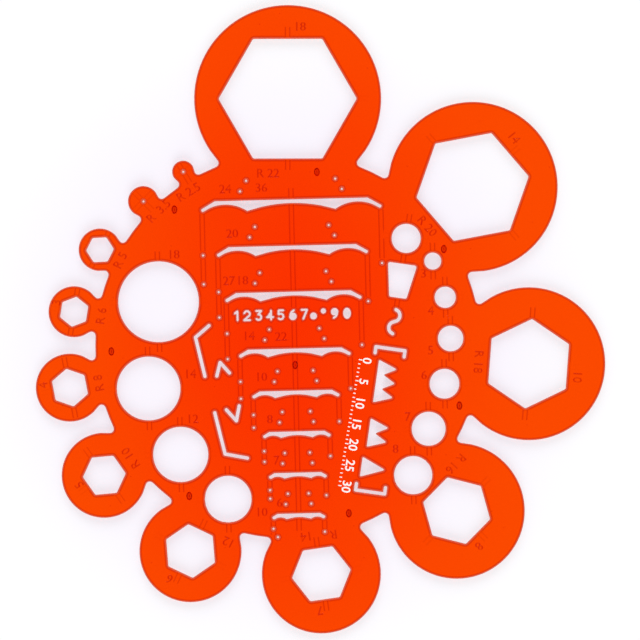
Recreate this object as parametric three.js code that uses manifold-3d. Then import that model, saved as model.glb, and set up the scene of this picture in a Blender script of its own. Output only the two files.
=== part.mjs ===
// Bolt-drawing template: a thin tinted plastic sheet with twelve radius lobes round a disc. It has nut
// hexagons in the lobes, circles, bolt-head profiles, symbol openings and a digit stencil, and it stands on
// eight small ink risers that keep a wet line from creeping under the sheet.
import * as THREE from 'three';
import { mergeVertices } from 'three/addons/utils/BufferGeometryUtils.js';
import Module from 'manifold-3d';

const wasm = await Module();
wasm.setup();

// Sheet, in millimetres and degrees. Places are measured from the disc's centre, with +Y up the bolt column.
const SHEET_THICKNESS = 1.2;
const DISC_RADIUS = 45.35;
const NOTCH_FILLET = 1; // where a lobe runs into the disc
const ARC_TOLERANCE = 0.05; // how far a straight facet may leave a true arc
const CUT_MARGIN = 1; // how far a cutter reaches past both faces
const ROOT_DEPTH = 4; // how far a lobe's root reaches into the disc

// Pencil openings
const PENCIL_ALLOWANCE = 1; // a circle is cut this much over its nominal diameter
const SLOT_WIDTH = 0.85; // bolt-head profiles
const SYMBOL_SLOT_WIDTH = 0.8; // angle slots, brackets and the break line
const SLOT_OVERRUN = 0.38; // how far a bolt-head profile runs past the nut's corner
const SIDE_DOT_OVERRUN = 0.27; // how far the nut and head dots stand outside that corner
const DOT_DIAMETER = 0.85; // pencil-point holes
const HEX_CORNER = 0.5;
const SYMBOL_CORNER = 0.45;

// Ink risers: oval domes bonded to the underside
const RISER_HEIGHT = 0.5;
const RISER_WIDTH = 1.4;
const RISER_LENGTH = 2;
const RISER_FOOT_WIDTH = 0.6;
const RISER_SIDES = 14;
// The ones near the disc's rim: bearing from the disc's centre, and how far the middle is inside the rim
const RIM_RISERS = [
  { bearing: 79.2, inset: 3.9 },
  { bearing: 30.4, inset: 2.2 },
  { bearing: -20.7, inset: 2.6 },
  { bearing: -71.5, inset: 3.35 },
  { bearing: -124.7, inset: 2.95 },
  { bearing: -179.5, inset: 3.7 },
  { bearing: -231.5, inset: 3.6 },
];

// Lobes: outer radius, how far the centre stands outside the disc's rim, bearing from the disc's centre, and
// the nut opening across its flats. The two smallest have a pencil-point hole instead.
const LOBES = [
  { radius: 22, overhang: 12.8, bearing: 88.7, flats: 28.2 },
  { radius: 20, overhang: 11.95, bearing: 39.3, flats: 23.3 },
  { radius: 18, overhang: 11.45, bearing: -5.7, flats: 18.3 },
  { radius: 16, overhang: 10.2, bearing: -45.8, flats: 14.1 },
  { radius: 14, overhang: 8.95, bearing: -83.1, flats: 12.1 },
  { radius: 12, overhang: 8.2, bearing: -116.8, flats: 11 },
  { radius: 10, overhang: 7.6, bearing: -146.2, flats: 8.8 },
  { radius: 8, overhang: 6.95, bearing: -170.5, flats: 7.8 },
  { radius: 6, overhang: 5.65, bearing: -190.4, flats: 6.2 },
  { radius: 5, overhang: 4.35, bearing: -208.4, flats: 5.7 },
  { radius: 3.6, overhang: 2.75, bearing: -226.3 },
  { radius: 2.6, overhang: 2.45, bearing: -240.3 },
];

// Circles: nominal diameter, bearing, and the rim left between the circle and the disc's edge. One of them
// reaches past that edge into a lobe's neck.
const CIRCLES = [
  { nominal: 18, bearing: 159.9, rim: 3.65 },
  { nominal: 14, bearing: -164.3, rim: 3.5 },
  { nominal: 12, bearing: -136, rim: 2.85 },
  { nominal: 10, bearing: -112.7, rim: 1.05 },
  { nominal: 8, bearing: -47.4, rim: -1.55 },
  { nominal: 7, bearing: -32, rim: 2.9 },
  { nominal: 6, bearing: -15.1, rim: 3.95 },
  { nominal: 5, bearing: 1.1, rim: 4.05 },
  { nominal: 4, bearing: 15.7, rim: 4.15 },
  { nominal: 3, bearing: 28.9, rim: 3.9 },
];

// Bolt column: one row for each thread, with the fastener sizes that the row draws. One row has a riser on the
// column, below its top line.
const COLUMN_X = 1.55;
const CHAMFER_ANGLE = 30;
const CORE_DOT_RISE = 4.65; // above the row's top line
const THREAD_DOT_RISE = 2.2;
const BOLT_ROWS = [
  { top: 34.4, thread: 24, core: 21, flats: 36, thinNut: 12.2, nut: 19, head: 15 },
  { top: 23.5, thread: 20, core: 17.4, flats: 30, thinNut: 10, nut: 16, head: 13 },
  { top: 12.65, thread: 18, core: 15.6, flats: 27, thinNut: 9, nut: 15, head: 12.4 },
  { top: -0.75, thread: 14, core: 11.8, flats: 22, thinNut: 7, nut: 11, head: 9.2, riserDrop: 3.85 },
  { top: -10.65, thread: 10, core: 8.4, flats: 17, thinNut: 5, nut: 8, head: 7 },
  { top: -20.25, thread: 8, core: 6.6, flats: 13, thinNut: 4, nut: 6.5, head: 5.5 },
  { top: -29.95, thread: 7, core: 5.9, flats: 11, thinNut: 3.5, nut: 5.5, head: 5 },
  { top: -39.55, thread: 6, core: 4.9, flats: 10, thinNut: 3, nut: 5, head: 4, nutDotInset: 1 },
];

// Symbol column: it leans clockwise, and its own places are across and along it
const SYMBOL_ORIGIN = [24.3, 0];
const SYMBOL_LEAN = 9.5;
const SYMBOL_CIRCLE = { along: 24.9, diameter: 6.85 };
const TAPER = { top: 18.85, bottom: 10.8, topWidth: 6.9, bottomWidth: 4.1 };
const BREAK_LINE = { along: 5.1, radius: 1.47, tilt: 14, sweep: 152 };
const BRACKETS = [
  { along: -1.35, width: 6.9, leg: -1.45 },
  { along: -35.4, width: 6.9, leg: 1.5 },
];
const SAWS = [
  { along: -9.35, teeth: 3, pitch: 3.38, back: -2.3, valley: -0.8, tip: 2.25 },
  { along: -21.6, teeth: 2, pitch: 3.4, back: -2.3, valley: -0.8, tip: 2.25 },
  { along: -29.8, teeth: 1, pitch: 4.75, back: -2.9, valley: -2.9, tip: 2.8 },
];

// Angle slots left of the bolt column: end, corner, end
const ANGLE_SLOTS = [
  [[-18.5, 5.15], [-21.75, 2.45], [-19.75, -6.75]],
  [[-16.95, -6.75], [-16.1, -3.6], [-13.95, -6.1]],
  [[-11.85, -13.9], [-12.6, -17.4], [-14.9, -14.75]],
  [[-17.65, -15.4], [-15.45, -25.15], [-10.2, -26.25]],
];

// Digit stencil: bowls are open, because an island would fall out, and the eight is drawn from two bowls
const DIGIT_HEIGHT = 2.6;
const DIGIT_BASE = 5.98;
const DIGIT_STROKE = 0.48;
const DIGIT_PLACES = [-11.9, -9.5, -6.7, -4.1, -1.5, 1.3, 4, 6.15, 8.5, 11.15, 14.05];

const SHEET_COLOUR = 0xfb3f02;
const RISER_COLOUR = 0xd22c04;

const radians = THREE.MathUtils.degToRad;
const point = (x, y) => new THREE.Vector2(x, y);

function polar(radius, degrees) {
  return point(radius * Math.cos(radians(degrees)), radius * Math.sin(radians(degrees)));
}

// Points along an arc from one angle to another, both ends included
function arc(centre, radius, from, to, tolerance = ARC_TOLERANCE) {
  const step = 2 * Math.acos(1 - Math.min(tolerance / radius, 0.4));
  const count = Math.max(1, Math.ceil(radians(Math.abs(to - from)) / step));
  const angle = (i) => from + ((to - from) * i) / count;
  return Array.from({ length: count + 1 }, (_, i) => polar(radius, angle(i)).add(centre));
}

const circle = (centre, diameter) => arc(centre, diameter / 2, 0, 360).slice(1);

// Points along an arc between two points, which bows to the left of the way by the sagitta
function bow(start, end, sagitta) {
  const half = start.distanceTo(end) / 2;
  const radius = (half * half + sagitta * sagitta) / (2 * Math.abs(sagitta));
  const along = end.clone().sub(start).normalize();
  const left = point(-along.y, along.x).multiplyScalar(Math.sign(sagitta));
  const centre = start.clone().add(end).divideScalar(2).addScaledVector(left, Math.abs(sagitta) - radius);
  const from = THREE.MathUtils.radToDeg(start.clone().sub(centre).angle());
  const turn = -Math.sign(sagitta) * 2 * THREE.MathUtils.radToDeg(2 * Math.atan(Math.abs(sagitta) / half));
  return arc(centre, radius, from, from + turn);
}

// A polygon with each corner rounded
function rounded(corners, radius) {
  return corners.flatMap((corner, i) => {
    const before = corners.at(i - 1).clone().sub(corner);
    const after = corners[(i + 1) % corners.length].clone().sub(corner);
    const half = Math.acos(before.dot(after) / before.length() / after.length()) / 2;
    const reach = Math.min(radius / Math.tan(half), before.length() / 2, after.length() / 2);
    const start = corner.clone().addScaledVector(before.normalize(), reach);
    const end = corner.clone().addScaledVector(after.normalize(), reach);
    const middle = start.clone().add(end).divideScalar(2);
    const depth = (reach * Math.tan(half) * (1 - Math.sin(half))) / Math.sin(half);
    const crown = corner.clone().addScaledVector(middle.sub(corner).normalize(), depth);
    return [start, crown, end];
  });
}

// The outline of a smooth pen stroke with round ends
function stroke(path, width) {
  const half = width / 2;
  const heading = path.map((_, i) => {
    const from = path[Math.max(i - 1, 0)];
    const to = path[Math.min(i + 1, path.length - 1)];
    return THREE.MathUtils.radToDeg(to.clone().sub(from).angle());
  });
  const side = (turn) => path.map((p, i) => polar(half, heading[i] + turn).add(p));
  const endCap = arc(path.at(-1), half, heading.at(-1) - 90, heading.at(-1) + 90).slice(1, -1);
  const startCap = arc(path[0], half, heading[0] + 90, heading[0] + 270).slice(1, -1);
  return [...side(-90), ...endCap, ...side(90).reverse(), ...startCap];
}

const polyline = (points, width) => points.slice(1).map((end, i) => stroke([points[i], end], width));

// Closed solid of a flat outline between two heights
function slab(outline, low, high) {
  const shape = new THREE.Shape(outline);
  const geometry = new THREE.ExtrudeGeometry(shape, { depth: high - low, bevelEnabled: false });
  geometry.translate(0, 0, low);
  geometry.deleteAttribute('normal');
  geometry.deleteAttribute('uv');
  const merged = mergeVertices(geometry);
  const vertProperties = new Float32Array(merged.attributes.position.array);
  const triVerts = new Uint32Array(merged.index.array);
  return new wasm.Manifold(new wasm.Mesh({ numProp: 3, vertProperties, triVerts }));
}

const lobeCentre = (lobe) => polar(DISC_RADIUS + lobe.overhang, lobe.bearing);

// Where the notch fillet beside a lobe touches the disc and the lobe, as angles from the lobe's bearing
function filletAngles(lobe) {
  const reach = DISC_RADIUS + lobe.overhang;
  const toDisc = DISC_RADIUS + NOTCH_FILLET;
  const toLobe = lobe.radius + NOTCH_FILLET;
  const cosine = (a, b, c) => THREE.MathUtils.clamp((a * a + b * b - c * c) / (2 * a * b), -1, 1);
  const atDisc = THREE.MathUtils.radToDeg(Math.acos(cosine(reach, toDisc, toLobe)));
  const atLobe = 180 - THREE.MathUtils.radToDeg(Math.acos(cosine(reach, toLobe, toDisc)));
  return { atDisc, atLobe };
}

// A lobe with its two notch fillets and a root inside the disc
function lobeOutline(lobe) {
  const { bearing, radius } = lobe;
  const { atDisc, atLobe } = filletAngles(lobe);
  const right = polar(DISC_RADIUS + NOTCH_FILLET, bearing - atDisc);
  const left = polar(DISC_RADIUS + NOTCH_FILLET, bearing + atDisc);
  return [
    polar(DISC_RADIUS - ROOT_DEPTH, bearing - atDisc),
    ...arc(right, NOTCH_FILLET, bearing - atDisc + 180, bearing - atLobe + 180),
    ...arc(lobeCentre(lobe), radius, bearing - atLobe, bearing + atLobe).slice(1, -1),
    ...arc(left, NOTCH_FILLET, bearing + atLobe - 180, bearing + atDisc - 180),
    polar(DISC_RADIUS - ROOT_DEPTH, bearing + atDisc),
  ];
}

// The disc, with a corner wherever a notch fillet touches it
function discOutline() {
  const touches = LOBES.flatMap((lobe) => {
    const { atDisc } = filletAngles(lobe);
    return [lobe.bearing - atDisc, lobe.bearing + atDisc];
  });
  const angles = touches.map((angle) => THREE.MathUtils.euclideanModulo(angle, 360)).sort((a, b) => a - b);
  return angles.flatMap((from, i) => {
    const to = i + 1 < angles.length ? angles[i + 1] : angles[0] + 360;
    return arc(point(0, 0), DISC_RADIUS, from, to).slice(0, -1);
  });
}

function circleOpening({ nominal, bearing, rim }) {
  const diameter = nominal + PENCIL_ALLOWANCE;
  return circle(polar(DISC_RADIUS - rim - diameter / 2, bearing), diameter);
}

// Nut openings with a flat facing outwards, and the pencil-point holes of the two smallest lobes
function lobeOpenings() {
  return LOBES.map((lobe) => {
    const centre = lobeCentre(lobe);
    if (!lobe.flats) return circle(centre, DOT_DIAMETER);
    const corners = [30, 90, 150, 210, 270, 330].map((angle) =>
      polar(lobe.flats / Math.sqrt(3), lobe.bearing + angle).add(centre));
    return rounded(corners, HEX_CORNER);
  });
}

// One bolt-head profile seen across its corners: a chamfered top edge over one wide and two narrow arcs
function boltProfile(row) {
  const corner = row.flats / Math.sqrt(3);
  const drop = (corner - row.flats / 2) * Math.tan(radians(CHAMFER_ANGLE));
  const at = (x, down) => point(COLUMN_X + x, row.top - down);
  const end = corner + SLOT_OVERRUN;
  const endDrop = drop + SLOT_OVERRUN * Math.tan(radians(CHAMFER_ANGLE));
  const floor = drop + SLOT_WIDTH;
  return [
    at(row.flats / 2, 0),
    at(-row.flats / 2, 0),
    ...bow(at(-end, endDrop), at(-corner, floor), -SLOT_WIDTH / 4),
    ...bow(at(-corner, floor), at(-corner / 2, floor), drop).slice(1),
    ...bow(at(-corner / 2, floor), at(corner / 2, floor), drop).slice(1),
    ...bow(at(corner / 2, floor), at(corner, floor), drop).slice(1),
    ...bow(at(corner, floor), at(end, endDrop), -SLOT_WIDTH / 4).slice(1),
  ];
}

// Pencil-point holes of one row: thread and core above it, thin nut, nut and bolt head beside it
function boltDots(row) {
  const side = row.flats / Math.sqrt(3) + SIDE_DOT_OVERRUN;
  const below = (height) => row.top - height - PENCIL_ALLOWANCE / 2;
  const nutSide = side - (row.nutDotInset ?? 0);
  return [
    [COLUMN_X - row.core / 2, row.top + CORE_DOT_RISE],
    [COLUMN_X + row.core / 2, row.top + CORE_DOT_RISE],
    [COLUMN_X - row.thread / 2, row.top + THREAD_DOT_RISE],
    [COLUMN_X + row.thread / 2, row.top + THREAD_DOT_RISE],
    [COLUMN_X - side, below(row.thinNut)],
    [COLUMN_X - nutSide, below(row.nut)],
    [COLUMN_X + side, below(row.head)],
  ].map(([x, y]) => circle(point(x, y), DOT_DIAMETER));
}

// A place across and along the leaning symbol column
const symbolAt = (across, along) =>
  point(across, along).rotateAround(point(0, 0), -radians(SYMBOL_LEAN)).add(point(...SYMBOL_ORIGIN));

function taperOpening() {
  const { top, bottom, topWidth, bottomWidth } = TAPER;
  const corners = [[topWidth, top], [-topWidth, top], [-bottomWidth, bottom], [bottomWidth, bottom]];
  return rounded(corners.map(([width, along]) => symbolAt(width / 2, along)), SYMBOL_CORNER);
}

// Two arcs that meet in the middle and bow opposite ways
function breakLine() {
  const { along, radius, tilt, sweep } = BREAK_LINE;
  const upper = polar(radius, 90 + tilt).add(point(0, along));
  const lower = polar(radius, 270 + tilt).add(point(0, along));
  const path = [
    ...arc(upper, radius, tilt - 90 + sweep, tilt - 90),
    ...arc(lower, radius, tilt + 90, tilt + 90 + sweep).slice(1),
  ];
  return stroke(path.map((p) => symbolAt(p.x, p.y)), SYMBOL_SLOT_WIDTH);
}

function bracketSlots({ along, width, leg }) {
  const path = [[-width / 2, along + leg], [-width / 2, along], [width / 2, along], [width / 2, along + leg]];
  return polyline(path.map(([x, y]) => symbolAt(x, y)), SYMBOL_SLOT_WIDTH);
}

function sawOpening({ along, teeth, pitch, back, valley, tip }) {
  const start = along - (teeth * pitch) / 2;
  const corners = [[back, along + (teeth * pitch) / 2], [back, start]];
  for (let tooth = 0; tooth < teeth; tooth += 1) {
    corners.push([tip, start + (tooth + 0.5) * pitch]);
    if (tooth < teeth - 1) corners.push([valley, start + (tooth + 1) * pitch]);
  }
  return rounded(corners.map(([x, y]) => symbolAt(x, y)), SYMBOL_CORNER / 2);
}

// Digits: strokes and bowls in digit heights, x from the digit's middle and y from its foot
function digitOpenings() {
  const thin = DIGIT_STROKE / DIGIT_HEIGHT;
  const foot = thin / 2;
  const head = 1 - foot;
  const curve = (x, y, radius, from, to) => arc(point(x, y), radius, from, to, ARC_TOLERANCE / DIGIT_HEIGHT);
  const bar = (x0, y0, x1, y1) => [point(x0, y0), point(x1, y1)];
  const two = [...curve(0, head - 0.26, 0.26, 165, -30), point(-0.27, foot)];
  const ring = (y, radius) => curve(0, y, radius, 0, 360).slice(1);
  const digits = [
    { strokes: [bar(0.06, foot, 0.06, head), bar(0.06, head, -0.18, 0.72)] },
    { strokes: [two, bar(-0.27, foot, 0.28, foot)] },
    { strokes: [bar(-0.24, head, 0.22, head), bar(0.22, head, -0.06, 0.57),
      curve(-0.04, foot + 0.25, 0.25, 95, -140)] },
    { strokes: [bar(0.1, foot, 0.1, head), bar(-0.28, 0.32, 0.3, 0.32)],
      bowls: [[point(0.1, head), point(-0.32, 0.32), point(0.1, 0.32)]] },
    { strokes: [bar(-0.2, head, 0.22, head), bar(-0.2, head, -0.22, 0.55),
      curve(-0.03, foot + 0.26, 0.26, 125, -140)] },
    { strokes: [curve(0.3, 0.4, 0.53, 170, 112)], bowls: [ring(0.34, 0.34)] },
    { strokes: [bar(-0.25, head, 0.25, head), bar(0.25, head, -0.1, foot)] },
    { bowls: [ring(0.33, 0.31)] },
    { bowls: [ring(0.76, 0.245)] },
    { strokes: [curve(-0.3, 0.6, 0.53, -10, -68)], bowls: [ring(0.66, 0.34)] },
    { bowls: [ring(0.5, 0.5).map((p) => point(p.x * 0.7, p.y))] },
  ];
  return digits.flatMap(({ strokes = [], bowls = [] }, i) => {
    const outlines = [...strokes.map((path) => stroke(path, thin)), ...bowls];
    const place = (p) => point(DIGIT_PLACES[i] + p.x * DIGIT_HEIGHT, DIGIT_BASE + p.y * DIGIT_HEIGHT);
    return outlines.map((outline) => outline.map(place));
  });
}

// Every opening in the sheet, as flat outlines
const openings = [
  ...lobeOpenings(),
  ...CIRCLES.map(circleOpening),
  ...BOLT_ROWS.map(boltProfile),
  ...BOLT_ROWS.flatMap(boltDots),
  circle(symbolAt(0, SYMBOL_CIRCLE.along), SYMBOL_CIRCLE.diameter),
  taperOpening(),
  breakLine(),
  ...BRACKETS.flatMap(bracketSlots),
  ...SAWS.map(sawOpening),
  ...ANGLE_SLOTS.flatMap((corners) => polyline(corners.map(([x, y]) => point(x, y)), SYMBOL_SLOT_WIDTH)),
  ...digitOpenings(),
];

// The sheet: disc and lobes joined, then every opening cut through
function sheetGeometry() {
  const low = RISER_HEIGHT;
  const high = RISER_HEIGHT + SHEET_THICKNESS;
  let solid = slab(discOutline(), low, high);
  for (const lobe of LOBES) solid = solid.add(slab(lobeOutline(lobe), low, high));
  for (const outline of openings) solid = solid.subtract(slab(outline, low - CUT_MARGIN, high + CUT_MARGIN));
  const mesh = solid.getMesh();
  const geometry = new THREE.BufferGeometry();
  geometry.setAttribute('position', new THREE.BufferAttribute(new Float32Array(mesh.vertProperties), 3));
  geometry.setIndex(new THREE.BufferAttribute(new Uint32Array(mesh.triVerts), 1));
  geometry.computeVertexNormals();
  return geometry;
}

// A riser: flat where it is bonded to the sheet, rounded at the side and cut flat at the foot
function riserGeometry() {
  const bond = RISER_WIDTH / 2;
  const foot = RISER_FOOT_WIDTH / 2;
  const steps = [0, 30, 60, 90].map((angle) => {
    const out = foot + (bond - foot) * Math.sin(radians(angle));
    return point(out, RISER_HEIGHT * (1 - Math.cos(radians(angle))));
  });
  const geometry = new THREE.LatheGeometry([point(0, 0), ...steps, point(0, RISER_HEIGHT)], RISER_SIDES);
  geometry.rotateX(Math.PI / 2);
  geometry.scale(1, RISER_LENGTH / RISER_WIDTH, 1);
  return geometry;
}

const tinted = (color) => new THREE.MeshStandardMaterial({ color, roughness: 0.15, metalness: 0 });

// The middle of the outline's box, from the lobes that reach furthest
const extents = LOBES.map((lobe) => ({ centre: lobeCentre(lobe), radius: lobe.radius }));
const middle = (axis) =>
  (Math.max(...extents.map((e) => e.centre[axis] + e.radius)) +
    Math.min(...extents.map((e) => e.centre[axis] - e.radius))) / 2;

const template = new THREE.Group();
template.position.set(-middle('x'), -middle('y'), 0);

const sheet = new THREE.Mesh(sheetGeometry(), tinted(SHEET_COLOUR));
sheet.name = 'template_sheet';
template.add(sheet);

const riserPlaces = [
  ...RIM_RISERS.map(({ bearing, inset }) => polar(DISC_RADIUS - inset, bearing)),
  ...BOLT_ROWS.filter((row) => row.riserDrop).map((row) => point(COLUMN_X, row.top - row.riserDrop)),
];
riserPlaces.forEach((place, i) => {
  const riser = new THREE.Mesh(riserGeometry(), tinted(RISER_COLOUR));
  riser.name = `ink_riser_${i + 1}`;
  riser.position.set(place.x, place.y, 0);
  template.add(riser);
});

export default template;
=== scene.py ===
import math

import bmesh
import bpy
import numpy as np
from mathutils import Matrix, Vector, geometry


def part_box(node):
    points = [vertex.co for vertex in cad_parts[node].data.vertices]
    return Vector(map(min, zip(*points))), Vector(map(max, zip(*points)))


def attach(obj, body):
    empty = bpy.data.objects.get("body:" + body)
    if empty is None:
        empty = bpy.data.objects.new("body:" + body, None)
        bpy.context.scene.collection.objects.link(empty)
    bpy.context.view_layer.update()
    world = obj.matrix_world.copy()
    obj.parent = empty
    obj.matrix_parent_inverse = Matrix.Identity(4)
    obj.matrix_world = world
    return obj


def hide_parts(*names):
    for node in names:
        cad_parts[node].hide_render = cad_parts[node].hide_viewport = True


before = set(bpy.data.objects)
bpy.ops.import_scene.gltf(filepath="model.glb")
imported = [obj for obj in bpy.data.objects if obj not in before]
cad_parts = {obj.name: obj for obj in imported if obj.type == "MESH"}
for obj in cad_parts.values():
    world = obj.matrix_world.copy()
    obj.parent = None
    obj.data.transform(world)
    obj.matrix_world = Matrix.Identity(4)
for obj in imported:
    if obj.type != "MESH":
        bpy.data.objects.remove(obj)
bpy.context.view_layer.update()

mm = 0.001    # shapes are worked out in millimetres and go into the meshes in metres
weld = 1e-8   # metres, points closer than this are made one
sheetLow, sheetHigh = (corner.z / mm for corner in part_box("template_sheet"))
print("frame loaded, sheet from", round(sheetLow, 3), "to", round(sheetHigh, 3), "mm")

# The bolt column's own riser ties places measured from the disc's centre to the frame
column = {"x": 1.55, "riserY": -4.6, "slotWidth": 0.85, "dotOverrun": 0.27, "chamfer": math.radians(30)}
riserLow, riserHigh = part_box("ink_riser_8")
discMiddle = np.array([(riserLow[axis] + riserHigh[axis]) / 2 / mm for axis in (0, 1)])
discMiddle -= (column["x"], column["riserY"])


def linearColour(code):  # sRGB hex to linear, alpha 1
    values = np.array([int(code[i:i + 2], 16) for i in (1, 3, 5)]) / 255
    linear = np.where(values <= 0.04045, values / 12.92, ((values + 0.055) / 1.055) ** 2.4)
    return (*linear.tolist(), 1.0)


def addNode(tree, kind, links=None, **settings):  # links: socket to a value, or to another node's output
    node = tree.nodes.new(kind)
    for name, value in settings.items():
        setattr(node, name, value)
    for socket, value in (links or {}).items():
        if isinstance(value, bpy.types.NodeSocket):
            tree.links.new(value, node.inputs[socket])
        else:
            node.inputs[socket].default_value = value
    return node


def newMaterial(name):
    material = bpy.data.materials.new(name)
    material.use_nodes = True
    material.node_tree.nodes.clear()
    return material, material.node_tree


def placePiece(name, mesh, material, replaced=None):
    mesh.materials.append(material)
    piece = bpy.data.objects.new(name, mesh)
    bpy.context.scene.collection.objects.link(piece)
    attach(piece, "root")
    if replaced:
        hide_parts(replaced)
    return piece


def shapeMesh(name, points, faces, smooth, **values):  # points in millimetres, values one for each point
    mesh = bpy.data.meshes.new(name)
    mesh.from_pydata((points * mm).tolist(), [], faces)
    mesh.polygons.foreach_set("use_smooth", smooth)
    for attribute, value in values.items():
        mesh.attributes.new(attribute, "FLOAT", "POINT").data.foreach_set("value", value.astype(np.float32))
    mesh.update()
    return mesh


# Moulded acrylic sheet, see-through orange-red: its polished faces show the white under it through the tint.
# Its cut edges and engraved lines take light away; painted shade in the colour makes them read as darker
# red, and a painted pale glow lies right along the cut edges
acrylic = {
    "tint": "#ff4a00",         # lobes and rim, where light comes in from all round
    "deepTint": "#ff3200",     # along the bolt column, painted shade where less light comes in than at the lobes
    "shadeTint": "#b40600",      # painted shade along cut edges and on the sides of engraved lines
    "hazeTint": "#de725a",     # painted pale glow at the cut edge, the white under the sheet showing through its rounded, slightly rough edge
    "deepPlace": (1, 2),       # mm from the disc's centre, where the tint is deepest
    "deepReach": (0, 102),     # mm along the column, from all deep to all plain tint
    "deepNarrow": 1.65,        # how much faster it turns plain across the column
    "cloudSize": 22,           # mm, slow unevenness of the tint
    "cloudStrength": 0.3,      # share of the way from deep to plain tint that it swings over
    "speckSpacing": 14,        # mm between specks of dust, and their size
    "speckSize": 0.16,
    "scratchSpacing": 0.8,     # mm, hairline scratches from use, drawn coarser than real so that they show
    "scratchLean": 35,         # degrees
    "scratchStretch": 0.06,    # their width as a share of their length
    "scratchRange": (0.45, 0.75),  # noise values from no scratch to a full one, and what that one adds
    "scratchRoughness": 0.14,
    "ior": 1.49,
    "mirror": 0.4,             # share of the reflection straight on, so that the tint stays clear
    "roughness": 0.04,         # polished faces, and what the engraving and the sawn edge add to it
    "cutRoughness": 0.25,
    "edgeRoughness": 0.45,
}
# The risers are clearer, because they are seen through the sheet
riserGlass = dict(acrylic, tint="#f4d4ff", deepTint="#f4d4ff", shadeTint="#b00090")


def acrylicMaterial(name, acrylic):
    material, tree = newMaterial(name)
    place = addNode(tree, "ShaderNodeTexCoord").outputs["Object"]
    # painted shade: the tint deepens towards the bolt column and turns plain towards the lobes and rim
    narrow = (acrylic["deepNarrow"], 1, 0)
    start = -(discMiddle + acrylic["deepPlace"]) * narrow[:2] * mm
    centre = addNode(tree, "ShaderNodeMapping", {"Vector": place, "Location": (*start, 0), "Scale": narrow})
    reach = addNode(tree, "ShaderNodeVectorMath", {0: centre.outputs[0]}, operation="LENGTH")
    toRim = addNode(tree, "ShaderNodeMapRange", {
        "Value": reach.outputs["Value"], "From Min": acrylic["deepReach"][0] * mm,
        "From Max": acrylic["deepReach"][1] * mm}, interpolation_type="SMOOTHSTEP")
    cloud = addNode(tree, "ShaderNodeTexNoise", {
        "Vector": place, "Scale": 1 / (acrylic["cloudSize"] * mm), "Detail": 2.0})
    strength = acrylic["cloudStrength"]
    uneven = addNode(tree, "ShaderNodeMath", {
        0: cloud.outputs["Fac"], 1: strength, 2: -strength / 2}, operation="MULTIPLY_ADD")
    rimShare = addNode(tree, "ShaderNodeMath", {0: toRim.outputs[0], 1: uneven.outputs[0]}, use_clamp=True)
    tint = addNode(tree, "ShaderNodeMix", {
        "Factor": rimShare.outputs[0], 6: linearColour(acrylic["deepTint"]),
        7: linearColour(acrylic["tint"])}, data_type="RGBA")
    shade = addNode(tree, "ShaderNodeAttribute", attribute_name="shade")
    dust = addNode(tree, "ShaderNodeTexVoronoi", {
        "Vector": place, "Scale": 1 / (acrylic["speckSpacing"] * mm)}, voronoi_dimensions="2D")
    speck = addNode(tree, "ShaderNodeMath", {
        0: dust.outputs["Distance"], 1: acrylic["speckSize"] / 2 / acrylic["speckSpacing"]},
        operation="LESS_THAN")
    # painted shade from the shade attribute, plus real specks of dust
    shadeAndSpecks = addNode(tree, "ShaderNodeMath", {0: shade.outputs["Fac"], 1: speck.outputs[0]}, use_clamp=True)
    colour = addNode(tree, "ShaderNodeMix", {
        "Factor": shadeAndSpecks.outputs[0], 6: tint.outputs[2], 7: linearColour(acrylic["shadeTint"])},
        data_type="RGBA")
    # painted pale glow along the cut edges, from the same attribute that makes them satin in the roughness
    # below
    haze = addNode(tree, "ShaderNodeAttribute", attribute_name="haze")
    hazed = addNode(tree, "ShaderNodeMix", {
        "Factor": haze.outputs["Fac"], 6: colour.outputs[2], 7: linearColour(acrylic["hazeTint"])},
        data_type="RGBA")
    stretched = addNode(tree, "ShaderNodeMapping", {
        "Vector": place, "Rotation": (0, 0, math.radians(acrylic["scratchLean"])),
        "Scale": (1, acrylic["scratchStretch"], 1)})
    scratch = addNode(tree, "ShaderNodeTexNoise", {
        "Vector": stretched.outputs[0], "Scale": 1 / (acrylic["scratchSpacing"] * mm), "Detail": 3.0})
    rough = addNode(tree, "ShaderNodeMapRange", {
        "Value": scratch.outputs["Fac"],
        "From Min": acrylic["scratchRange"][0], "From Max": acrylic["scratchRange"][1],
        "To Min": acrylic["roughness"], "To Max": acrylic["roughness"] + acrylic["scratchRoughness"]})
    roughCut = addNode(tree, "ShaderNodeMath", {
        0: shadeAndSpecks.outputs[0], 1: acrylic["cutRoughness"], 2: rough.outputs[0]}, operation="MULTIPLY_ADD")
    satin = addNode(tree, "ShaderNodeMath", {
        0: haze.outputs["Fac"], 1: acrylic["edgeRoughness"], 2: roughCut.outputs[0]},
        operation="MULTIPLY_ADD")
    body = addNode(tree, "ShaderNodeBsdfPrincipled", {
        "Base Color": hazed.outputs[2], "Roughness": satin.outputs[0], "IOR": acrylic["ior"],
        "Transmission Weight": 1.0, "Specular Tint": (*[acrylic["mirror"]] * 3, 1)})
    addNode(tree, "ShaderNodeOutputMaterial", {"Surface": body.outputs[0]})
    return material


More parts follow.
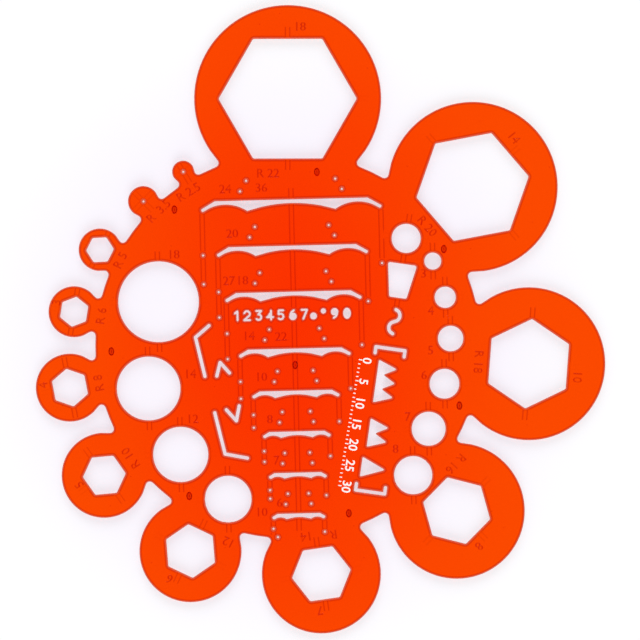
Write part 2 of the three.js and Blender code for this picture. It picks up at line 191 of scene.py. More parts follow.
# Outline of the sheet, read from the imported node: the edges that only one triangle of the top face has,
# each with the sheet on its left
def sheetOutline(level=3):  # how far a point of the top face may lie below it, in microns
    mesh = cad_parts["template_sheet"].data
    points = np.empty(len(mesh.vertices) * 3)
    corners = np.empty(len(mesh.loops), int)
    mesh.vertices.foreach_get("co", points)
    mesh.loops.foreach_get("vertex_index", corners)
    microns = np.round(points.reshape(-1, 3) / mm * 1000).astype(int)
    merged, index = np.unique(microns, axis=0, return_inverse=True)
    triangles = index.ravel()[corners].reshape(-1, 3)
    top = triangles[(merged[triangles, 2] > merged[:, 2].max() - level).all(1)]
    edges = np.vstack([top[:, [0, 1]], top[:, [1, 2]], top[:, [2, 0]]])
    code = edges[:, 0] * len(merged) + edges[:, 1]
    backCode = edges[:, 1] * len(merged) + edges[:, 0]
    rim = edges[~np.isin(code, backCode)]
    rim = rim[np.argsort(rim[:, 0])]
    return merged[rim[:, 0], :2] / 1000, np.searchsorted(rim[:, 0], rim[:, 1])


def backward(after):  # the point before each point, from the point after each point
    before = np.empty_like(after)
    before[after] = np.arange(len(after))
    return before


def splitEdges(points, after, middle):  # a new point in the middle of every edge
    count = len(points)
    joined = np.concatenate([np.arange(count, 2 * count), after])
    return np.vstack([points, middle]), joined


# Arcs get a point on the true arc in the middle of each facet: sagitta = chord x turn / 8, with the smaller
# turn of its two ends, where the facet isn't longer than its neighbours
def smoothArcs(points, after, sharp=math.radians(40), uneven=1.5):
    before = backward(after)
    edge = points[after] - points
    length = np.hypot(*edge.T)
    heading = np.arctan2(edge[:, 1], edge[:, 0])
    turn = (heading - heading[before] + math.pi) % (2 * math.pi) - math.pi
    near, far = turn, turn[after]
    near, far = np.where(abs(near) > sharp, far, near), np.where(abs(far) > sharp, near, far)
    bend = np.where(abs(near) < abs(far), near, far)
    bend[(abs(bend) > sharp) | (length > uneven * np.minimum(length[before], length[after]))] = 0
    right = np.column_stack([edge[:, 1], -edge[:, 0]])
    return splitEdges(points, after, points + edge / 2 + right * (bend / 8)[:, None])


# Straight edges are cut in halves until none is longer than this, with a hair of bulge so that no three
# points are in one line
def shortenEdges(points, after, longest, bulge=2e-4):
    while True:
        edge = points[after] - points
        long = np.hypot(*edge.T) > longest
        if not long.any():
            return points, after
        place = np.where(long, len(points) - 1 + np.cumsum(long), after)
        middle = points + edge / 2 + np.column_stack([edge[:, 1], -edge[:, 0]]) * bulge
        points, after = np.vstack([points, middle[long]]), np.concatenate([place, after[long]])


# The way into the sheet at each point: the sum of its edges' left sides, long enough to keep offset edges
# parallel, except at points sharper than the blunt limit
def inwardMitre(points, after, blunt=0.55):
    before = backward(after)
    edge = points[after] - points
    left = np.column_stack([-edge[:, 1], edge[:, 0]]) / np.hypot(*edge.T)[:, None]
    both = left + left[before]
    return both / np.maximum((both * left).sum(1), blunt)[:, None]


def clearance(places, starts, ends, block=500):  # distance from each place to the nearest of the edges
    span = ends - starts
    size = (span ** 2).sum(1)
    nearest = np.empty(len(places))
    for part in np.array_split(np.arange(len(places)), len(places) // block + 1):
        apart = places[part, None] - starts
        share = np.clip((apart * span).sum(2) / size, 0, 1)
        nearest[part] = np.sqrt(((apart - share[..., None] * span) ** 2).sum(2).min(1))
    return nearest


def insideOutline(places, starts, ends, block=500):  # a ray to +X crosses the outline an odd number of times
    inside = np.empty(len(places), bool)
    slope = (ends[:, 0] - starts[:, 0]) / np.where(ends[:, 1] == starts[:, 1], 1, ends[:, 1] - starts[:, 1])
    for part in np.array_split(np.arange(len(places)), len(places) // block + 1):
        x, y = places[part, :1], places[part, 1:]
        spans = (starts[:, 1] > y) != (ends[:, 1] > y)
        inside[part] = (spans & (x < starts[:, 0] + (y - starts[:, 1]) * slope)).sum(1) % 2 == 1
    return inside


def around(bearing):  # unit vector at a bearing in degrees
    return np.array([math.cos(math.radians(bearing)), math.sin(math.radians(bearing))])


# The layout that the marks follow, from the disc's centre, in millimetres and degrees
layout = {
    "discRadius": 45.35,
    "lobes": [  # bearing, centre outside the rim, across flats (0: a pencil-point hole), rail to the disc
        (88.7, 12.8, 28.2, True), (39.3, 11.95, 23.3, False), (-5.7, 11.45, 18.3, False),
        (-45.8, 10.2, 14.1, False), (-83.1, 8.95, 12.1, True), (-116.8, 8.2, 11, True),
        (-146.2, 7.6, 8.8, False), (-170.5, 6.95, 7.8, False), (-190.4, 5.65, 6.2, False),
        (-208.4, 4.35, 5.7, False), (-226.3, 2.75, 0, True), (-240.3, 2.45, 0, True)],
    "circles": [  # diameter, bearing, rim left outside it
        (19, 159.9, 3.65), (15, -164.3, 3.5), (13, -136, 2.85), (11, -112.7, 1.05), (9, -47.4, -1.55),
        (8, -32, 2.9), (7, -15.1, 3.95), (6, 1.1, 4.05), (5, 15.7, 4.15), (4, 28.9, 3.9)],
    "rows": [  # top line, across flats, thin nut, nut, head
        (34.4, 36, 12.2, 19, 15), (23.5, 30, 10, 16, 13), (12.65, 27, 9, 15, 12.4), (-0.75, 22, 7, 11, 9.2),
        (-10.65, 17, 5, 8, 7), (-20.25, 13, 4, 6.5, 5.5), (-29.95, 11, 3.5, 5.5, 5), (-39.55, 10, 3, 5, 4)],
    "dot": 0.85,
    "symbolOrigin": (24.3, 0), "symbolLean": 9.5, "symbolCircle": (24.9, 6.85), "taperFoot": 10.8,
    "columnTop": 37.4, "columnFoot": -44, "digitsFoot": 5.98, "digitsHead": 8.58,
}

# Engraved rails: a shallow trough with two sides darkened by painted shade, given across it. Along it, the
# two ends rise
rails = {
    "across": [-0.74, -0.58, -0.42, -0.26, 0.26, 0.42, 0.58, 0.74],  # mm from its middle
    "depth": [0, 0.01, 0.02, 0.03, 0.03, 0.02, 0.01, 0],             # mm below the top face
    "shade": [0, 0.75, 0.75, -0.2, -0.2, 0.75, 0.75, 0],
    "faint": 0.12, "fade": 3,                          # share of the painted shade left on a rail that runs across, which the light shows less
    "rise": 0.14, "fromEdge": 0.3, "clear": 0.2, "least": 0.6,  # mm
    "belowSlot": 0.1, "belowDot": 1,                   # mm, where the rails of a bolt row start
    "tick": 2.1, "sideTick": 1.7, "nutTick": 2.5,      # mm, lengths of the short ones
    "probes": 24, "stations": 6,
}


def railWishes():  # start, way and wanted length of every rail
    edge, rows, lean = rails["fromEdge"], layout["rows"], layout["symbolLean"]
    wishes = []
    rings = []
    for bearing, overhang, flats, inwardRail in layout["lobes"]:
        centre = around(bearing) * (layout["discRadius"] + overhang)
        flat, corner = (flats / 2, flats / 3 ** 0.5) if flats else (layout["dot"] / 2, layout["dot"] / 2)
        for turn, reach in ((0, flat), (90, corner), (-90, corner), (180, flat))[:4 if inwardRail else 3]:
            way = around(bearing + turn)
            wishes.append((centre + way * (reach + edge), way, rails["nutTick"]))
    for diameter, bearing, rim in layout["circles"]:
        rings.append((around(bearing) * (layout["discRadius"] - rim - diameter / 2), diameter, 0))
    along, diameter = layout["symbolCircle"]
    rings.append((layout["symbolOrigin"] + around(90 - lean) * along, diameter, -lean))
    for centre, diameter, turn in rings:
        for bearing, length in ((90, "tick"), (-90, "tick"), (0, "sideTick"), (180, "sideTick")):
            way = around(bearing + turn)
            wishes.append((centre + way * (diameter / 2 + edge), way, rails[length]))
    foot = layout["symbolOrigin"] + around(90 - lean) * (layout["taperFoot"] - edge)
    wishes.append((foot, around(-90 - lean), rails["tick"]))
    down = around(-90)
    stops = [(layout["columnTop"], rows[0][0])]
    stops += [(upper[0] - column["slotWidth"], lower[0]) for upper, lower in zip(rows, rows[1:])]
    stops.append((rows[-1][0] - column["slotWidth"], layout["columnFoot"]))
    stops[3:4] = [(stops[3][0], layout["digitsHead"]), (layout["digitsFoot"], stops[3][1])]
    for high, low in stops:
        wishes.append((np.array([column["x"], high - edge]), down, high - low - 2 * edge))
    for top, flats, thinNut, nut, head in rows:
        corner = flats / 3 ** 0.5
        start = top - (corner - flats / 2) * math.tan(column["chamfer"]) - column["slotWidth"]
        start -= rails["belowSlot"]
        second = top - thinNut - rails["belowDot"]
        side = corner + column["dotOverrun"]
        for x, high, low in ((-side, start, top - thinNut), (-side, second, top - nut),
                             (side, start, top - head)):
            wishes.append((np.array([column["x"] + x, high - edge]), down, high - low - edge))
    return [np.array(values) for values in zip(*wishes)]


# Rails as grids of stations along and places across, each as long as the openings leave room for
def engravedRails(starts, ends):
    start, way, wanted = railWishes()
    start = start + discMiddle
    side = np.column_stack([way[:, 1], -way[:, 0]])
    across = np.array(rails["across"])
    steps = np.linspace(0, 1, rails["probes"]) * wanted[:, None]
    probes = start[:, None, None] + way[:, None, None] * steps[..., None, None]
    probes = probes + side[:, None, None] * across[:, None]
    flat = probes.reshape(-1, 2)
    room = (clearance(flat, starts, ends) > rails["clear"]) & insideOutline(flat, starts, ends)
    blocked = ~room.reshape(probes.shape[:3]).all(2)
    last = np.where(blocked.any(1), blocked.argmax(1), rails["probes"]) - 1
    length = np.take_along_axis(steps, np.maximum(last, 0)[:, None], 1)[:, 0]
    kept = length > rails["least"]
    start, way, side, length = start[kept], way[kept], side[kept], length[kept]
    rise, share = rails["rise"], np.linspace(0, 1, rails["stations"])
    stations = np.column_stack([length * 0, rise + (length - 2 * rise)[:, None] * share, length])
    grid = start[:, None, None] + way[:, None, None] * stations[..., None, None]
    grid = grid + side[:, None, None] * across[:, None]
    raised = np.array([0, *[1] * len(share), 0])[:, None]
    # painted shade, weaker on rails that run across
    strength = rails["faint"] + (1 - rails["faint"]) * abs(way[:, 1]) ** rails["fade"]
    depth = raised * rails["depth"] * strength[:, None, None]
    shade = raised * rails["shade"] * strength[:, None, None]
    number = np.arange(grid.size // 2).reshape(grid.shape[:3])
    edges = np.vstack([
        np.stack([number[:, :-1], number[:, 1:]], -1).reshape(-1, 2),
        np.stack([number[:, :, :-1], number[:, :, 1:]], -1).reshape(-1, 2)])
    print("engraved rails:", len(length), "of", len(kept))
    return grid.reshape(-1, 2), edges, depth.ravel(), shade.ravel(), (start, way, length)


def offRails(points, railLines, gap):  # which points are off every rail, by at least the gap
    start, way, length = railLines
    apart = points[:, None] - start
    along = (apart * way).sum(2)
    across = abs(apart[..., 0] * way[:, 1] - apart[..., 1] * way[:, 0])
    within = (along > -gap) & (along < length + gap) & (across < rails["across"][-1] + gap)
    return ~within.any(1)


# Engraved numbers: the strokes of plain figures, with their floors set below the face and darkened by
# painted shade
figures = {
    "height": 2.05, "capShare": 0.69, "spacing": 0.98, "curveSteps": 2,
    "bold": 0.08, "inset": 0.01, "depth": 0.02,        # mm
    "floorShade": 1.0, "faint": 0.4,                   # share of the painted shade left on strokes that run across, which the light shows less
    "labels": [  # text, its middle from the disc's centre, and its turn: radii and threads by the lobes
        ("R 22", -3.75, 40.6, -1.3), ("R 20", 33.35, 27.25, -50.7), ("R 18", 44.6, -4.9, -95.7),
        ("R 16", 38.7, -28.7, -135.8), ("R", 9.6, -44.6, -173.1), ("14", 3.2, -44.9, -173.1),
        ("12", -15.1, -45.8, 153.2), ("R 10", -37.6, -25.5, 123.8), ("R 8", -44.65, -7.7, 99.5),
        ("R 6", -43.7, 8.05, 79.6), ("R 5", -38.9, 21, 61.6), ("R", -31.45, 30.7, 43.7),
        ("3.5", -28.45, 33.4, 43.7), ("R 2.5", -22.5, 36.6, 29.7), ("18", 4.6, 74.9, -1.3),
        ("14", 54.2, 47.6, -50.7), ("10", 67.8, -9, -95.7), ("8", 43.7, -48.2, -135.8),
        ("7", 6, -62.4, -173.1), ("6", -29.2, -54.1, 153.2), ("5", -49.85, -31.5, 123.8),
        ("4", -57.7, -7.9, 99.5), ("3", -54.15, 11.5, 79.6),
        # diameters by the circles
        ("18", -26.4, 22, 0), ("14", -23.2, -6.2, 0), ("12", -22.9, -16.8, 0), ("10", -7.2, -39.1, 0),
        ("8", 24.7, -25, 0), ("7", 27.7, -17.5, 0), ("6", 31.8, -7.8, 0), ("5", 33.5, -2, 0),
        ("4", 33.8, 7.3, 0), ("3", 32.3, 16.1, 0),
        # threads, and some widths across flats, by the bolt rows
        ("24", -13.9, 37.1, 0), ("36", -5.4, 37.2, 0), ("20", -12.5, 26.6, 0), ("27", -13.55, 15.5, 0),
        ("18", -10.4, 15.5, 0), ("14", -9.2, 2.4, 0), ("22", -1.6, 2.1, 0), ("10", -6.5, -7.3, 0),
        ("8", -4.7, -17.3, 0), ("7", -3.4, -27, 0), ("6", -2.9, -37, 0)],
}


def textCurve(text, size, spacing=1.0):
    curve = bpy.data.curves.new("figure", "FONT")
    curve.body, curve.size, curve.space_character = text, size, spacing
    curve.align_x, curve.align_y = "CENTER", "CENTER"
    return curve


def textMesh(curve):  # the curve's mesh at the origin; the curve isn't kept
    holder = bpy.data.objects.new("figure", curve)
    bpy.context.scene.collection.objects.link(holder)
    evaluated = holder.evaluated_get(bpy.context.evaluated_depsgraph_get())
    mesh = bpy.data.meshes.new_from_object(evaluated)
    bpy.data.objects.remove(holder)
    bpy.data.curves.remove(curve)
    return mesh


def figureOutline(text):  # the stroke outlines of a text, ink on the left, and the point after each point
    curve = textCurve(text, figures["height"] / figures["capShare"], figures["spacing"])
    curve.fill_mode, curve.resolution_u = "NONE", figures["curveSteps"]
    mesh = textMesh(curve)
    points = np.empty(len(mesh.vertices) * 3)
    edges = np.empty(len(mesh.edges) * 2, int)
    mesh.vertices.foreach_get("co", points)
    mesh.edges.foreach_get("vertices", edges)
    bpy.data.meshes.remove(mesh)
    points, edges = points.reshape(-1, 3)[:, :2], np.sort(edges.reshape(-1, 2), 1)
    after = np.arange(len(points)) + 1
    closing = edges[:, 1] - edges[:, 0] > 1
    after[edges[closing, 1]] = edges[closing, 0]
    area = (points[:, 0] * points[after, 1] - points[after, 0] * points[:, 1]).sum()
    return (points, after) if area > 0 else (points, backward(after))


# Each stroke is two rings of its outline: one a little outside it at the face, one inside it at the floor
def engravedFigures(starts, ends):
    flat, edges, depth, shade, count = [], [], [], [], 0
    for text, x, y, turn in figures["labels"]:
        points, after = figureOutline(text)
        inward = inwardMitre(points, after)
        outer, inner = points - inward * figures["bold"], points + inward * figures["inset"]
        turned = np.array([around(turn), around(turn + 90)])
        placed = np.vstack([outer, inner]) @ turned + (x, y) + discMiddle
        if clearance(placed, starts, ends).min() < rails["clear"] / 2:
            print("no room for", text, "at", x, y)
            continue
        number = np.arange(len(points))
        ring = np.column_stack([number, after])
        edges += [ring + count, ring + count + len(points)]
        flat.append(placed)
        depth.append(np.repeat([0, figures["depth"]], len(points)))
        # painted shade on the stroke floors, stronger on upright strokes than on those that run across
        facing = abs((inward @ turned)[:, 0]) / np.hypot(*inward.T)
        stroke = figures["faint"] + (1 - figures["faint"]) * facing
        shade.append(np.concatenate([stroke * 0, stroke * figures["floorShade"]]))
        count += 2 * len(points)
    return np.vstack(flat), np.vstack(edges), np.concatenate(depth), np.concatenate(shade)


# The sheet: a rounded profile carried along every outline makes the walls, and a triangulation of the plane
# makes each face, with the rails and figures in the upper one
sheet = {
    "edgeRadius": 0.12,             # mm, softened corners of the cut edge
    "edgeSteps": 2,
    "leastInset": 0.005,            # mm, how far the rounding reaches in at the tightest corners
    "insetStep": 0.6,               # what is left of it after each try
    "insetRoom": 0.95,              # share of it that has to be clear of every edge
    "insetSpread": 60,              # rounds that even it out along the outline
    "longestEdge": 0.7,             # mm
    "bandPlaces": [0.23, 0.36, 0.48, 0.6, 0.82],  # mm in from the edge, across the band of painted shade and pale glow that runs along it
    "bandShades": [0.38, 0.36, 0.52, 0.32, 0],
    "bandGlowAndSatin": [0.46, 0.15, 0, 0, 0],
    "bandRoom": 0.9,                # share of its place that a band point keeps clear of every edge,
    "bandSlack": 0.03,              # less this slack in mm
    "outerBand": 0.75,              # how much narrower the band is along the outline of the whole sheet
    # painted shade and painted pale glow on the rounded edge and the walls
    "rimShade": 0.4,
    "rimGlowAndSatin": 0.85,
    "dotSize": 1.2,                 # mm, a smaller opening is a pencil-point hole, which narrows downwards
    "dotTaper": 0.17,
    "smallSize": 3.2,               # mm, and a smaller one is a pencil-point hole or a figure
    "smallBand": 0.7,               # how much narrower the band is round these
    "outerSize": 60,                # mm, a larger loop is the outline of the whole sheet
    "fillSpacing": 1.6,             # mm, plain points between the bands keep the triangles small
    "fillClear": 0.3,
    "markClear": 0.15,              # mm, between these points and the marks
}


def loopSize(points, after):  # longest side of the box round each point's own loop, in doubling strides
    low, high, stride = points, points, after
    for _ in range(len(points).bit_length()):
        low, high = np.minimum(low, low[stride]), np.maximum(high, high[stride])
        stride = stride[stride]
    return (high - low).max(1)


def fillPoints(starts, ends, reach):  # a square grid inside the outline, clear of the bands along it
    low, high = starts.min(0), starts.max(0)
    places = [np.arange(low[axis], high[axis], sheet["fillSpacing"]) for axis in (0, 1)]
    points = np.stack(np.meshgrid(*places), -1).reshape(-1, 2)
    points = points[insideOutline(points, starts, ends)]
    return points[clearance(points, starts, ends) > reach + sheet["fillClear"]]


# Triangles between the points, inside the rim and with every edge kept
def fillOutline(flat, edges, rim, after, nearest=1e-7):
    made = geometry.delaunay_2d_cdt(flat.tolist(), edges.tolist(), [], 0, nearest, False)
    print("face filled:", len(flat), "points,", len(made[0]) - len(flat), "crossings")
    if len(made[0]) > len(flat):
        flat = np.vstack([flat, np.array(made[0][len(flat):])])
    triangles = np.array(made[2])
    inside = insideOutline(flat[triangles].mean(1), rim, rim[after])
    start, end, last = triangles, np.roll(triangles, -1, 1), len(after) - 1
    along = (start <= last) & (end == after[np.minimum(start, last)])    # sides that run along the rim
    against = (end <= last) & (start == after[np.minimum(end, last)])    # and against it, so outside
    return flat, triangles[(inside | along.any(1)) & ~against.any(1)]


# How far the rounding reaches in at each point, less where its rim would fold over
def edgeInset(outline, after, inward):
    inset, before = np.full(len(outline), sheet["edgeRadius"]), backward(after)
    edge = outline[after] - outline
    length = np.hypot(*edge.T)
    tight = np.arange(len(outline))
    while len(tight) and inset.min() > sheet["leastInset"]:
        rim = outline + inward * inset[:, None]
        room = clearance(rim[tight], outline, outline[after])
        folded = ((rim[after] - rim) * edge).sum(1) <= 0
        small = np.flatnonzero(folded | folded[before])
        tight = np.union1d(tight[room < sheet["insetRoom"] * inset[tight]], small)
        inset[tight] *= sheet["insetStep"]
    for _ in range(sheet["insetSpread"]):  # it grows no faster than the way along the outline
        inset = np.minimum(inset, np.minimum(inset[after] + length, inset[before] + length[before]))
    return inset


# Points along the outline for each place across the band, and the number of each point's line
def bandPoints(outline, inward, reach, starts, ends):
    bands, lines = [], []
    for line, place in enumerate(sheet["bandPlaces"]):
        band = outline + inward * (place * reach)[:, None]
        clear = clearance(band, starts, ends) > sheet["bandRoom"] * place * reach - sheet["bandSlack"]
        bands.append(band[clear])
        lines.append(np.full(clear.sum(), line))
    return np.vstack(bands), np.concatenate(lines)


def sheetMesh():
    coarse, coarseAfter = sheetOutline()
    starts, ends = coarse, coarse[coarseAfter]
    outline, after = shortenEdges(*smoothArcs(coarse, coarseAfter), sheet["longestEdge"])
    inward = inwardMitre(outline, after)
    count, radius = len(outline), sheet["edgeRadius"]
    print("sheet outline:", count, "points")
    railFlat, railEdges, railDepth, railShade, railLines = engravedRails(starts, ends)
    border = railEdges[(railDepth[railEdges] == 0).all(1)]
    figureFlat, figureEdges, figureDepth, figureShade = engravedFigures(
        np.vstack([starts, railFlat[border[:, 0]]]), np.vstack([ends, railFlat[border[:, 1]]]))
    marks = np.vstack([railFlat, figureFlat])
    markEdges = np.vstack([railEdges, figureEdges + len(railFlat)])
    inset = edgeInset(outline, after, inward)
    rim = outline + inward * inset[:, None]
    size = loopSize(outline, after)
    reach = np.where(size > sheet["outerSize"], sheet["outerBand"], 1)
    reach = np.where(size < sheet["smallSize"], sheet["smallBand"], reach)
    bands, lines = bandPoints(outline, inward, reach, starts, ends)
    fill = fillPoints(starts, ends, sheet["bandPlaces"][-1])
    strokes = figureFlat[figureEdges[:, 0]], figureFlat[figureEdges[:, 1]]
    gap = sheet["markClear"]
    free, freeFill = (offRails(points, railLines, gap) & (clearance(points, *strokes) > gap)
                      for points in (bands, fill))
    # painted shade and painted pale glow along every edge, and the painted shade of the rails and figures
    rimShade, rimGlowAndSatin = np.full(count, sheet["rimShade"]), np.full(count, sheet["rimGlowAndSatin"])
    bandShade, bandGlowAndSatin = np.array(sheet["bandShades"])[lines], np.array(sheet["bandGlowAndSatin"])[lines]
    depth = np.concatenate([np.zeros(count), railDepth, figureDepth])
    shade = np.concatenate([rimShade, railShade, figureShade, bandShade[free]])
    haze = np.concatenate([rimGlowAndSatin, np.zeros(len(marks)), bandGlowAndSatin[free]])
    rimEdges = np.column_stack([np.arange(count), after])
    flat, triangles = fillOutline(
        np.vstack([rim, marks, bands[free], fill[freeFill]]), np.vstack([rimEdges, markEdges + count]),
        rim, after)
    depth, shade, haze = (np.pad(values, (0, len(flat) - len(values))) for values in (depth, shade, haze))
    taper = -inward * np.where(size < sheet["dotSize"], sheet["dotTaper"], 0)[:, None]
    every = lines % 2 == 0  # every other line of the band is enough under the sheet
    lowRim = rim + taper
    lowFlat, lowTriangles = fillOutline(np.vstack([lowRim, bands[every], fill]), rimEdges, lowRim, after)
    lowShade = np.concatenate([rimShade, bandShade[every]])
    lowGlowAndSatin = np.concatenate([rimGlowAndSatin, bandGlowAndSatin[every]])
    lowShade, lowGlowAndSatin = (np.pad(values, (0, len(lowFlat) - len(values))) for values in (lowShade, lowGlowAndSatin))
    steps = np.linspace(0, math.pi / 2, sheet["edgeSteps"] + 1)[1:]
    upper = [np.column_stack([outline + inward * (inset * (1 - math.sin(step)))[:, None],
                              np.full(count, sheetHigh - radius * (1 - math.cos(step)))]) for step in steps]
    lower = [np.column_stack([ring[:, :2] + taper, sheetLow + sheetHigh - ring[:, 2]])
             for ring in upper[::-1]]
    topFace = np.column_stack([flat, sheetHigh - depth])
    lowFace = np.column_stack([lowFlat, np.full(len(lowFlat), sheetLow)])
    points = np.vstack([topFace, lowFace, *upper, *lower])
    base = len(flat) + len(lowFlat)
    rings = [np.arange(count)]
    rings += [base + i * count + np.arange(count) for i in range(2 * len(upper))]
    rings.append(len(flat) + np.arange(count))
    walls = [np.column_stack([low, low[after], high[after], high]) for high, low in zip(rings, rings[1:])]
    walls = np.vstack(walls)
    faces = triangles.tolist() + (lowTriangles[:, ::-1] + len(flat)).tolist() + walls.tolist()
    smooth = np.repeat([False, True], [len(triangles) + len(lowTriangles), len(walls)])
    wall = 2 * len(upper)
    return shapeMesh("tinted_sheet", points, faces, smooth,
                     shade=np.concatenate([shade, lowShade, np.tile(rimShade, wall)]),
                     haze=np.concatenate([haze, lowGlowAndSatin, np.tile(rimGlowAndSatin, wall)]))


sheetPiece = placePiece("tinted_sheet", sheetMesh(), acrylicMaterial("tinted acrylic sheet", acrylic),
                        "template_sheet")
print("sheet made:", len(sheetPiece.data.loops) - 2 * len(sheetPiece.data.polygons), "triangles")

# Ink risers: an oval dome under the sheet. radius = foot + (bond - foot) sin a, height = rise (1 - cos a)
riser = {"footWidth": 0.6, "air": 0.02, "sides": 40, "steps": 12,
         "ring": 0.86, "ringWidth": 0.28,  # painted shade: a dark ring where the dome's steep sides bend light away, as shares of the way from the middle to the rim
         "slit": (0.24, 0.45)}              # painted shade: a dark slit in the middle, across and along


def riserMesh(node):
    low, high = (np.array(corner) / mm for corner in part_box(node))
    middle, (wide, long, tall) = (low + high) / 2, high - low
    tall -= riser["air"]  # a hair of air keeps the two faces from touching
    angle = np.linspace(0, math.pi / 2, riser["steps"])
    foot = riser["footWidth"] / wide
    bond = np.linspace(1, 0, riser["steps"])
    out = np.concatenate([[0], foot + (1 - foot) * np.sin(angle), bond])
    up = np.concatenate([[0], tall * (1 - np.cos(angle)), bond * 0 + tall])
    bearing = np.linspace(0, 2 * math.pi, riser["sides"], endpoint=False)
    grid = np.stack([out[:, None] * np.cos(bearing) * wide / 2, out[:, None] * np.sin(bearing) * long / 2,
                     np.broadcast_to(up[:, None], (len(out), len(bearing)))], -1)
    # painted shade: the dark ring and the dark middle slit of the dome
    across = out[:, None] * np.cos(bearing) / riser["slit"][0]
    along = out[:, None] * np.sin(bearing) / riser["slit"][1]
    ring = np.exp(-((out - riser["ring"]) / riser["ringWidth"]) ** 2)
    shade = np.maximum(ring[:, None], np.exp(-across ** 2 - along ** 2))
    points = grid.reshape(-1, 3) + (middle[0], middle[1], low[2])
    number = np.arange(len(points)).reshape(grid.shape[:2])
    right = np.roll(number, -1, 1)
    faces = np.stack([number[:-1], right[:-1], right[1:], number[1:]], -1).reshape(-1, 4)
    mesh = shapeMesh(node + "_dome", points, faces.tolist(), np.ones(len(faces), bool), shade=shade.ravel())
    merged = bmesh.new()
    merged.from_mesh(mesh)
    bmesh.ops.remove_doubles(merged, verts=merged.verts, dist=weld)
    merged.to_mesh(mesh)
    merged.free()
    return mesh


riserMaterial = acrylicMaterial("tinted acrylic riser", riserGlass)
for node in sorted(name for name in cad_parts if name.startswith("ink_riser")):
    placePiece(node + "_dome", riserMesh(node), riserMaterial, node)
print("risers made")

# Screen-printed white ink: opaque and matt, with a slightly uneven film
ink = {"white": "#f7f5f2", "thin": "#efe9e4", "grain": 0.25, "roughness": 0.55}  # grain in mm


def inkMaterial():
    material, tree = newMaterial("screen-printed white ink")
    place = addNode(tree, "ShaderNodeTexCoord").outputs["Object"]
    film = addNode(tree, "ShaderNodeTexNoise", {
        "Vector": place, "Scale": 1 / (ink["grain"] * mm), "Detail": 2.0})
    colour = addNode(tree, "ShaderNodeMix", {
        "Factor": film.outputs["Fac"], 6: linearColour(ink["white"]), 7: linearColour(ink["thin"])},
        data_type="RGBA")
    body = addNode(tree, "ShaderNodeBsdfPrincipled", {
        "Base Color": colour.outputs[2], "Roughness": ink["roughness"]})
    addNode(tree, "ShaderNodeOutputMaterial", {"Surface": body.outputs[0]})
    return material


# Printed scale beside the symbol column: a tick for each millimetre and plain numbers that read down it
scale = {
    "start": (17.8, -3.9), "way": -100.7,  # mm from the disc's centre, and degrees
    "length": 30, "numberEach": 5, "numberHeight": 2.0, "numberMiddle": 0.6, "bold": 0.045, "curveSteps": 4,
    "tickBase": -1.25, "tick": 0.55, "longTick": 0.8, "tickWidth": 0.24,
    "film": 0.015, "lift": 0.003,          # mm, the ink's thickness, and a hair of air under it
}


def scaleMesh():
    way, up = around(scale["way"]), around(scale["way"] + 90)
    low, high = sheetHigh + scale["lift"], sheetHigh + scale["lift"] + scale["film"]
    along = np.arange(0, scale["length"] + 1)
    tall = np.where(along % scale["numberEach"] == 0, scale["longTick"], scale["tick"])
    corner = np.array([(x, y, z) for z in (0, 1) for y in (0, 1) for x in (-0.5, 0.5)])
    box = np.array([(0, 2, 3, 1), (4, 5, 7, 6), (0, 1, 5, 4), (2, 6, 7, 3), (0, 4, 6, 2), (1, 3, 7, 5)])
    x = along[:, None] + corner[:, 0] * scale["tickWidth"]
    y = scale["tickBase"] + corner[:, 1] * tall[:, None]
    flat = x[..., None] * way + y[..., None] * up + scale["start"] + discMiddle
    z = np.broadcast_to(low + corner[:, 2] * (high - low), x.shape)
    points = np.concatenate([flat, z[..., None]], 2).reshape(-1, 3)
    faces = (box + 8 * np.arange(len(along))[:, None, None]).reshape(-1, 4)
    mesh = bpy.data.meshes.new("printed_scale")
    mesh.from_pydata((points * mm).tolist(), [], faces.tolist())
    joined = bmesh.new()
    joined.from_mesh(mesh)
    for value in range(0, scale["length"] + 1, scale["numberEach"]):
        curve = textCurve(str(value), scale["numberHeight"] / figures["capShare"])
        curve.offset, curve.extrude = scale["bold"], scale["film"] / 2
        curve.resolution_u = scale["curveSteps"]
        place = way * value + up * scale["numberMiddle"] + scale["start"] + discMiddle
        figure = textMesh(curve)
        figure.transform(Matrix.Scale(mm, 4) @ Matrix.Translation((*place, (low + high) / 2))
                         @ Matrix.Rotation(math.radians(scale["way"]), 4, "Z"))
        joined.from_mesh(figure)
        bpy.data.meshes.remove(figure)
    bmesh.ops.remove_doubles(joined, verts=joined.verts, dist=weld)
    bmesh.ops.recalc_face_normals(joined, faces=joined.faces)
    joined.to_mesh(mesh)
    joined.free()
    return mesh


placePiece("printed_scale", scaleMesh(), inkMaterial())
print("scale printed")

# White floor: plain diffuse, lifted towards white for the camera so that only a soft shadow is left on it,
# with a painted shade near the sheet: a faint lilac grey that fades to plain white further out
stage = {
    "floorSide": 3.0,                # metres
    "paper": "#f8f7ff",
    "cameraLift": 0.7,               # share of plain white that the camera sees in it
    "shadedWhite": "#f9f3fc", "farWhite": "#ffffff",
    "shadeReach": (46, 80),           # mm from the disc's centre, from the painted shade to plain white
    "sun": 1.85, "sunSize": 45, "sunTilt": 54,  # size and tilt in degrees
    "horizon": 0.9, "zenith": 0.02,  # the sky is dark overhead, so that the sheet mirrors little of it
    "zenithFrom": 0.5, "zenithTo": 0.85,
}


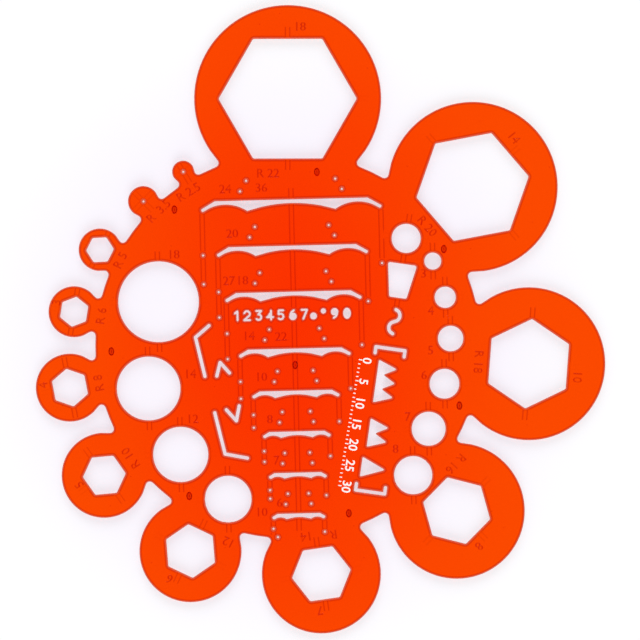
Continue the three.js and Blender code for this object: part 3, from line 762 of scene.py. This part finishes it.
def floorPiece():
    side = stage["floorSide"] / 2
    mesh = bpy.data.meshes.new("floor")
    corners = [(-side, -side, 0), (side, -side, 0), (side, side, 0), (-side, side, 0)]
    mesh.from_pydata(corners, [], [(0, 1, 2, 3)])
    material, tree = newMaterial("white paper")
    path = addNode(tree, "ShaderNodeLightPath")
    seen = addNode(tree, "ShaderNodeMath", {0: path.outputs["Is Camera Ray"], 1: stage["cameraLift"]},
                   operation="MULTIPLY")
    gloss = addNode(tree, "ShaderNodeMath", {
        0: path.outputs["Is Glossy Ray"], 1: path.outputs["Is Transmission Ray"]}, operation="MAXIMUM")
    lift = addNode(tree, "ShaderNodeMath", {0: seen.outputs[0], 1: gloss.outputs[0]}, operation="MAXIMUM")
    paper = addNode(tree, "ShaderNodeBsdfDiffuse", {"Color": linearColour(stage["paper"])})
    place = addNode(tree, "ShaderNodeMapping", {
        "Vector": addNode(tree, "ShaderNodeTexCoord").outputs["Object"],
        "Location": (*(-discMiddle * mm), 0)})
    reach = addNode(tree, "ShaderNodeVectorMath", {0: place.outputs[0]}, operation="LENGTH")
    # painted shade round the sheet, fading out with distance; glossy and see-through rays see plain white
    far = addNode(tree, "ShaderNodeMapRange", {
        "Value": reach.outputs["Value"], "From Min": stage["shadeReach"][0] * mm,
        "From Max": stage["shadeReach"][1] * mm}, interpolation_type="SMOOTHSTEP")
    farShare = addNode(tree, "ShaderNodeMath", {
        0: far.outputs[0], 1: gloss.outputs[0]}, operation="MAXIMUM")
    colour = addNode(tree, "ShaderNodeMix", {
        "Factor": farShare.outputs[0], 6: linearColour(stage["shadedWhite"]),
        7: linearColour(stage["farWhite"])}, data_type="RGBA")
    white = addNode(tree, "ShaderNodeEmission", {"Color": colour.outputs[2], "Strength": 1.0})
    mixed = addNode(tree, "ShaderNodeMixShader", {
        0: lift.outputs[0], 1: paper.outputs[0], 2: white.outputs[0]})
    addNode(tree, "ShaderNodeOutputMaterial", {"Surface": mixed.outputs[0]})
    material.cycles.emission_sampling = "NONE"
    mesh.materials.append(material)
    floor = bpy.data.objects.new("floor", mesh)
    bpy.context.scene.collection.objects.link(floor)


def studioLight():
    for turn in (0, 180):  # one soft lamp at each side, so that nothing is mirrored straight up
        lamp = bpy.data.lights.new("side lamp", "SUN")
        lamp.energy, lamp.angle = stage["sun"], math.radians(stage["sunSize"])
        holder = bpy.data.objects.new("side lamp", lamp)
        holder.rotation_euler = (math.radians(stage["sunTilt"]), 0, math.radians(turn))
        bpy.context.scene.collection.objects.link(holder)
    world = bpy.data.worlds.new("studio")
    world.use_nodes = True
    tree = world.node_tree
    tree.nodes.clear()
    direction = addNode(tree, "ShaderNodeTexCoord").outputs["Generated"]
    height = addNode(tree, "ShaderNodeSeparateXYZ", {0: direction})
    sky = addNode(tree, "ShaderNodeMapRange", {
        "Value": height.outputs["Z"], "From Min": stage["zenithFrom"], "From Max": stage["zenithTo"],
        "To Min": stage["horizon"], "To Max": stage["zenith"]}, interpolation_type="SMOOTHSTEP")
    camera = addNode(tree, "ShaderNodeLightPath").outputs["Is Camera Ray"]
    strength = addNode(tree, "ShaderNodeMath", {0: sky.outputs[0], 1: camera}, operation="MAXIMUM")
    back = addNode(tree, "ShaderNodeBackground", {"Color": (1, 1, 1, 1), "Strength": strength.outputs[0]})
    addNode(tree, "ShaderNodeOutputWorld", {"Surface": back.outputs[0]})
    bpy.context.scene.world = world


# Camera straight above, with a long lens: the photograph is 640 pixels wide, 4.25 of them to the millimetre
view = {
    "frame": 640 / 4.25, "lens": 200, "sensor": 36,  # mm
    "middle": (0.19, -0.27), "turn": -1.4,           # mm and degrees
    "reach": 10,                                     # metres, how far the camera sees
}


def photoCamera():
    camera = bpy.data.cameras.new("camera")
    camera.lens, camera.sensor_width = view["lens"], view["sensor"]
    camera.clip_end = view["reach"]
    holder = bpy.data.objects.new("camera", camera)
    distance = view["frame"] * view["lens"] / view["sensor"]
    holder.location = (view["middle"][0] * mm, view["middle"][1] * mm, (sheetHigh + distance) * mm)
    holder.rotation_euler = (0, 0, math.radians(view["turn"]))
    bpy.context.scene.collection.objects.link(holder)
    bpy.context.scene.camera = holder


floorPiece()
studioLight()
photoCamera()
bpy.context.scene.view_settings.view_transform = "Standard"
print("stage set")
